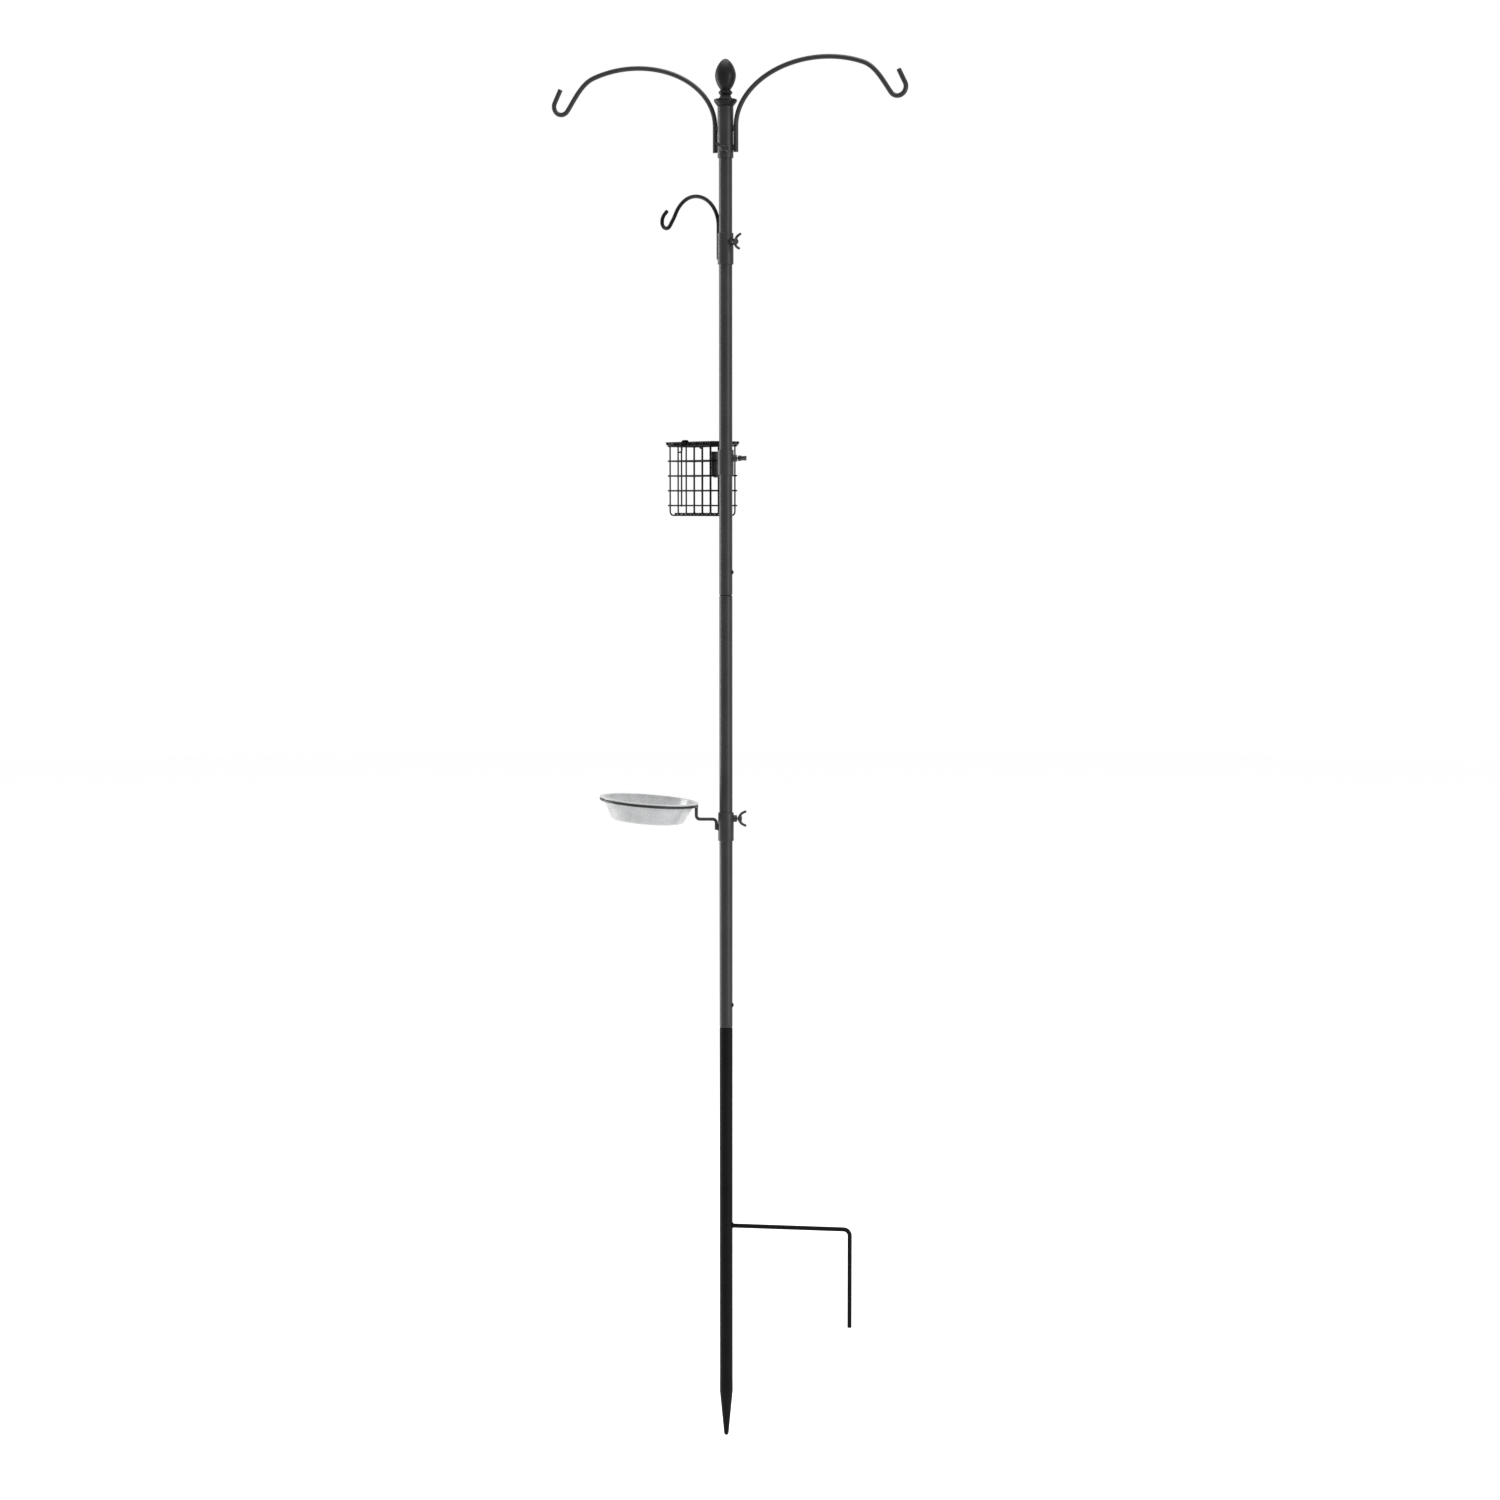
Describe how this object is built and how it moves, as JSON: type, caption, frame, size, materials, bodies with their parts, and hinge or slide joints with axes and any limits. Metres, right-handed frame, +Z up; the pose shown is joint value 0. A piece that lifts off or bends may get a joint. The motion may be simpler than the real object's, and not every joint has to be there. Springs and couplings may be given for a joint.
{
  "type": "bird feeder pole",
  "caption": "Tall sectional steel pole with a ground spike, step-in bar, curved hook arms, a small side hook, a lidded wire suet cage and a clear dish on clamp sleeves.",
  "frame": {"origin": "on the pole's axis at ground level, the height of the step-in foot bar", "axes": "+Z up the pole, +X along the foot bar"},
  "size_m": [0.6148, 0.237, 2.3045],
  "materials": {
    "charcoal_coat": "satin powder coat",
    "black_coat": "satin powder coat",
    "cage_coat": "black dip coat",
    "zinc_steel": "zinc plated",
    "clear_plastic": "clear moulded plastic"
  },
  "bodies": {
    "pole": {"upper_pole": "charcoal_coat", "middle_pole": "charcoal_coat", "lower_pole": "black_coat", "foot_bar": "black_coat", "upper_button_spring": "zinc_steel", "lower_button_spring": "zinc_steel"},
    "upper_button": {"upper_snap_button": "zinc_steel"},
    "lower_button": {"lower_snap_button": "zinc_steel"},
    "arm_unit": {"arm_sleeve": "charcoal_coat", "arm_weld_nut": "charcoal_coat", "left_arm": "charcoal_coat", "right_arm": "charcoal_coat", "finial": "charcoal_coat"},
    "arm_screw": {"arm_wing_screw": "charcoal_coat"},
    "hook_unit": {"hook_sleeve": "charcoal_coat", "hook_weld_nut": "charcoal_coat", "small_hook": "charcoal_coat"},
    "hook_screw": {"hook_wing_screw": "charcoal_coat"},
    "cage_clamp": {"cage_sleeve": "charcoal_coat", "cage_weld_nut": "charcoal_coat", "hook_strip": "charcoal_coat"},
    "cage_screw": {"cage_wing_screw": "charcoal_coat"},
    "cage": {"basket_hoop_1": "cage_coat", "basket_hoop_2": "cage_coat", "basket_hoop_3": "cage_coat", "basket_hoop_4": "cage_coat", "basket_hoop_5": "cage_coat", "basket_u_wire_1": "cage_coat", "basket_u_wire_2": "cage_coat", "basket_u_wire_3": "cage_coat", "basket_u_wire_4": "cage_coat", "basket_u_wire_5": "cage_coat", "basket_u_wire_6": "cage_coat", "basket_long_wire_1": "cage_coat", "basket_long_wire_2": "cage_coat", "basket_near_end_wire": "cage_coat", "basket_far_end_wire": "cage_coat"},
    "lid": {"lid_frame": "cage_coat", "lid_long_wire": "cage_coat", "lid_cross_wire_1": "cage_coat", "lid_cross_wire_2": "cage_coat", "lid_cross_wire_3": "cage_coat", "lid_cross_wire_4": "cage_coat", "lid_cross_wire_5": "cage_coat", "lid_cross_wire_6": "cage_coat", "lid_cross_wire_7": "cage_coat"},
    "latch": {"lid_latch": "cage_coat"},
    "dish_clamp": {"dish_sleeve": "charcoal_coat", "dish_weld_nut": "charcoal_coat", "dish_arm": "charcoal_coat", "dish_ring": "charcoal_coat"},
    "dish_screw": {"dish_wing_screw": "charcoal_coat"},
    "dish": {"dish": "clear_plastic"}
  },
  "joints": [
    {"name": "upper_button_press", "type": "slide", "parent": "pole", "child": "upper_button", "axis": [-1, 0, 0], "range_m": [0, 0.005], "stiffness_N_per_m": 800},
    {"name": "lower_button_press", "type": "slide", "parent": "pole", "child": "lower_button", "axis": [-1, 0, 0], "range_m": [0, 0.005], "stiffness_N_per_m": 800},
    {"name": "arm_unit_turn", "type": "hinge", "parent": "pole", "child": "arm_unit", "pos_m": [0, 0, 1.824], "axis": [0, 0, 1], "continuous": true},
    {"name": "arm_screw_turn", "type": "hinge", "parent": "arm_unit", "child": "arm_screw", "pos_m": [0.00041, -0.0234, 1.7955], "axis": [0.0175, -0.9998, 0], "continuous": true},
    {"name": "hook_unit_turn", "type": "hinge", "parent": "pole", "child": "hook_unit", "pos_m": [0, 0, 1.6345], "axis": [0, 0, 1], "continuous": true},
    {"name": "hook_screw_turn", "type": "hinge", "parent": "hook_unit", "child": "hook_screw", "pos_m": [0.01869, -0.01408, 1.645], "axis": [0.7986, -0.6018, 0], "continuous": true},
    {"name": "cage_height", "type": "slide", "parent": "pole", "child": "cage_clamp", "axis": [0, 0, 1], "range_m": [-0.145, 0.15]},
    {"name": "cage_screw_turn", "type": "hinge", "parent": "cage_clamp", "child": "cage_screw", "pos_m": [0.02314, 0.0035, 1.2915], "axis": [0.9888, 0.1495, 0], "continuous": true},
    {"name": "cage_lift", "type": "slide", "parent": "cage_clamp", "child": "cage", "axis": [0, 0, 1], "range_m": [0, 0.018]},
    {"name": "lid_open", "type": "hinge", "parent": "cage", "child": "lid", "pos_m": [-0.03063, 0.08878, 1.313], "axis": [-0.7145, 0.6997, 0], "range_deg": [0, 105]},
    {"name": "latch_swing", "type": "hinge", "parent": "lid", "child": "latch", "pos_m": [-0.07696, 0.05577, 1.3188], "axis": [-0.7145, 0.6997, 0], "range_deg": [0, 100]},
    {"name": "dish_height", "type": "slide", "parent": "pole", "child": "dish_clamp", "axis": [0, 0, 1], "range_m": [-0.25, 0.22]},
    {"name": "dish_screw_turn", "type": "hinge", "parent": "dish_clamp", "child": "dish_screw", "pos_m": [0.02314, 0.0035, 0.6918], "axis": [0.9888, 0.1495, 0], "continuous": true},
    {"name": "dish_lift_out", "type": "slide", "parent": "dish_clamp", "child": "dish", "axis": [0.0776, 0.0117, 0.9969], "range_m": [0, 0.06]}
  ]
}
